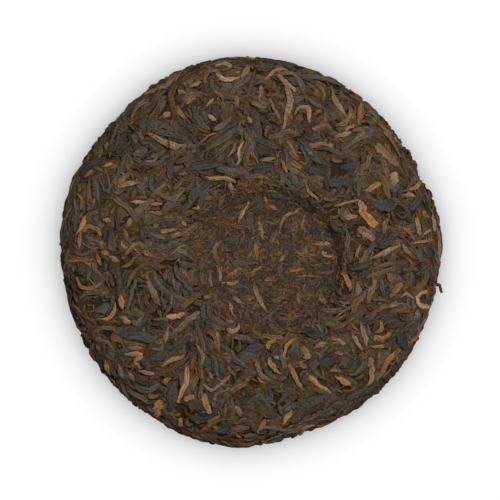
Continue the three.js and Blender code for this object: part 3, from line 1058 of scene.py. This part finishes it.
# %% The finishes of the leaves in the top layer, each a ramp of (place, red, green, blue)
finishes = {
    "dark_rolled_leaves": leaf_finish(
        "dark_leaf",
        ((0.0, 0.019, 0.013, 0.007), (0.4, 0.043, 0.034, 0.024),
         (0.75, 0.078, 0.062, 0.046), (1.0, 0.145, 0.112, 0.08)),
        roughness=(0.5, 0.75), bump=1.2 * MM),
    "brown_rolled_leaves": leaf_finish(
        "brown_leaf",
        ((0.0, 0.027, 0.014, 0.006), (0.4, 0.07, 0.038, 0.019),
         (0.75, 0.122, 0.072, 0.037), (1.0, 0.211, 0.125, 0.062)),
        roughness=(0.55, 0.8), bump=1.2 * MM),
    "olive_leaves": leaf_finish(
        "olive_leaf",
        ((0.0, 0.029, 0.018, 0.008), (0.4, 0.074, 0.047, 0.024),
         (0.75, 0.12, 0.076, 0.038), (1.0, 0.187, 0.119, 0.058)),
        roughness=(0.55, 0.8), bump=1.2 * MM),
    "grey_flat_leaves": leaf_finish(
        "grey_leaf",
        ((0.0, 0.015, 0.011, 0.008), (0.5, 0.031, 0.026, 0.021), (1.0, 0.08, 0.066, 0.05)),
        roughness=(0.45, 0.7), bump=0.8 * MM, specular=0.12),
    "golden_buds": leaf_finish(
        "golden_bud",
        ((0.0, 0.045, 0.023, 0.012), (0.35, 0.118, 0.063, 0.029),
         (0.7, 0.197, 0.115, 0.054), (1.0, 0.262, 0.167, 0.084)),
        wrinkles=8, roughness=(0.5, 0.75), bump=0.9 * MM, drift=0.13),
}

# %% The finishes of the loose layers
# Partly painted shade: the broad leaves underneath show only in the gaps of the top layer, so their
# colours are darker than those of the leaves on top.
finishes["under_leaves"] = leaf_finish(
    "under_leaf_gap_shade",
    ((0.0, 0.019, 0.011, 0.004), (0.4, 0.037, 0.023, 0.011),
     (0.75, 0.058, 0.038, 0.021), (1.0, 0.09, 0.06, 0.036)),
    wrinkles=5, roughness=(0.6, 0.85), bump=1.0 * MM)
finishes["stems"] = leaf_finish(
    "stem",
    ((0.0, 0.035, 0.021, 0.012), (0.5, 0.07, 0.045, 0.025), (1.0, 0.15, 0.1, 0.055)),
    wrinkles=4, roughness=(0.55, 0.8), bump=0.4 * MM)
finishes["crumbs"] = leaf_finish(
    "crumb",
    ((0.0, 0.025, 0.014, 0.006), (0.6, 0.061, 0.038, 0.021),
     (0.88, 0.115, 0.07, 0.037), (1.0, 0.24, 0.15, 0.08)),
    wrinkles=3, roughness=(0.6, 0.85), bump=0.6 * MM)
finishes["pulp"] = leaf_finish(
    "pulp",
    ((0.0, 0.025, 0.014, 0.006), (0.5, 0.056, 0.034, 0.018),
     (0.85, 0.086, 0.053, 0.03), (1.0, 0.135, 0.08, 0.043)),
    wrinkles=4, roughness=(0.7, 0.9), bump=0.35 * MM, patches=1.8)
for name, piece in leaf_pieces.items():
    piece.data.materials.append(finishes[name])

# %% The finishes of the core: crumbled leaf darkened as painted shade in the cracks, rubbed leaf in the dimple
# Painted shade: outside the dimple the core shows only in the cracks between leaves, so its colours are
# darker than the rubbed leaf's.
crack_shade_finish = leaf_finish(
    "crumbled_leaf_crack_shade",
    ((0.0, 0.015, 0.008, 0.003), (0.6, 0.032, 0.019, 0.01), (1.0, 0.06, 0.038, 0.022)),
    wrinkles=1, roughness=(0.7, 0.9), bump=1.0 * MM)
rubbed_finish = leaf_finish(
    "rubbed_leaf",
    ((0.0, 0.025, 0.014, 0.006), (0.5, 0.06, 0.036, 0.019), (1.0, 0.12, 0.07, 0.037)),
    wrinkles=1, roughness=(0.7, 0.9), bump=0.6 * MM, patches=1.8)
RUBBED_GROUND = 0.97

core.data.materials.append(crack_shade_finish)
core.data.materials.append(rubbed_finish)
for face in core.data.polygons:
    face.material_index = int(dimple_reach(face.center) < RUBBED_GROUND)
print("finishes:", len(finishes) + 2)

# %% [markdown]
# ## Joining the pieces to the frame
#
# The cake doesn't move in itself, so every piece rides on its one body. The core stands for the
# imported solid, which is hidden.

# %% Ride and replace
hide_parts("tea_cake")
for piece in (core, *leaf_pieces.values()):
    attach(piece, "root")

# %% [markdown]
# ## Floor, light and camera
#
# The photograph was taken straight from above on pure white. The light is a soft dome that is
# brighter to the right, which leaves the left of the rim in shade, and a key light from the upper
# right that lights only the cake. A wash from above lights only the floor and makes it white, but
# for a thin soft shadow all round. The floor doesn't throw light back on the cake, because in the
# photograph the rim is dark down to the edge. The camera aims a pixel beside the cake's middle.

# %% Floor
FLOOR_SIZE = 6
PAPER = (0.9, 0.9, 0.9, 1)

bpy.ops.object.select_all(action="DESELECT")
bpy.ops.mesh.primitive_plane_add(size=FLOOR_SIZE, location=(0, 0, 0))
floor = bpy.context.object
floor.name = "floor"
paper = bpy.data.materials.new("white_paper")
paper.use_nodes = True
paper_shader = paper.node_tree.nodes["Principled BSDF"].inputs
paper_shader["Base Color"].default_value = PAPER
paper_shader["Roughness"].default_value = 1.0
paper_shader["Specular IOR Level"].default_value = 0.0
floor.data.materials.append(paper)
floor.visible_diffuse = False
floor.visible_glossy = False

# %% Soft dome, dark below the horizon
DOME_LEFT, DOME_RIGHT = 0.68, 0.8
DOME_BELOW = 0.05

world = bpy.data.worlds.new("soft_dome")
world.use_nodes = True
bpy.context.scene.world = world
sky = world.node_tree
direction = sky.nodes.new("ShaderNodeTexCoord").outputs["Generated"]
parts = add_node(sky, "ShaderNodeSeparateXYZ", i0=direction).outputs
across = map_range(sky, parts["X"], -0.8, 0.8, DOME_LEFT, DOME_RIGHT, "SMOOTHSTEP")
above = map_range(sky, parts["Z"], -0.05, 0.05, DOME_BELOW, 1.0)
background = sky.nodes["Background"].inputs
sky.links.new(maths(sky, "MULTIPLY", across, above), background["Strength"])
background["Color"].default_value = (1, 1, 1, 1)


# %% Softboxes that light only the cake, or only the floor
def softbox(name, place, size, energy, lit):
    """A round area light that looks at the cake and lights only the given objects."""
    data = bpy.data.lights.new(name, "AREA")
    data.shape = "DISK"
    data.size = size
    data.energy = energy
    light = bpy.data.objects.new(name, data)
    bpy.context.collection.objects.link(light)
    light.location = place
    light.rotation_euler = (-Vector(place)).to_track_quat("-Z", "Y").to_euler()
    light.light_linking.receiver_collection = bpy.data.collections.new(name + "_lights")
    for piece in lit:
        light.light_linking.receiver_collection.objects.link(piece)


softbox("key", place=(0.34, 0.32, 1.0), size=0.4, energy=17.2, lit=(core, *leaf_pieces.values()))
softbox("floor_wash", place=(0, 0, 0.5), size=1.4, energy=3.15, lit=(floor,))

# %% Camera straight above
PHOTO_WIDTH = 500
PIXEL = 0.51 * MM
CAMERA_HEIGHT = 1.5
AIM = (0.5 * PIXEL, 1.5 * PIXEL)

camera_data = bpy.data.cameras.new("camera")
camera = bpy.data.objects.new("camera", camera_data)
bpy.context.collection.objects.link(camera)
camera.location = (*AIM, CAMERA_HEIGHT)
camera_data.sensor_width = 36
camera_data.lens = camera_data.sensor_width * (CAMERA_HEIGHT - RIM_HEIGHT) / (PHOTO_WIDTH * PIXEL)
bpy.context.scene.camera = camera
bpy.context.scene.view_settings.view_transform = "Standard"
print("lens:", round(camera_data.lens), "mm")
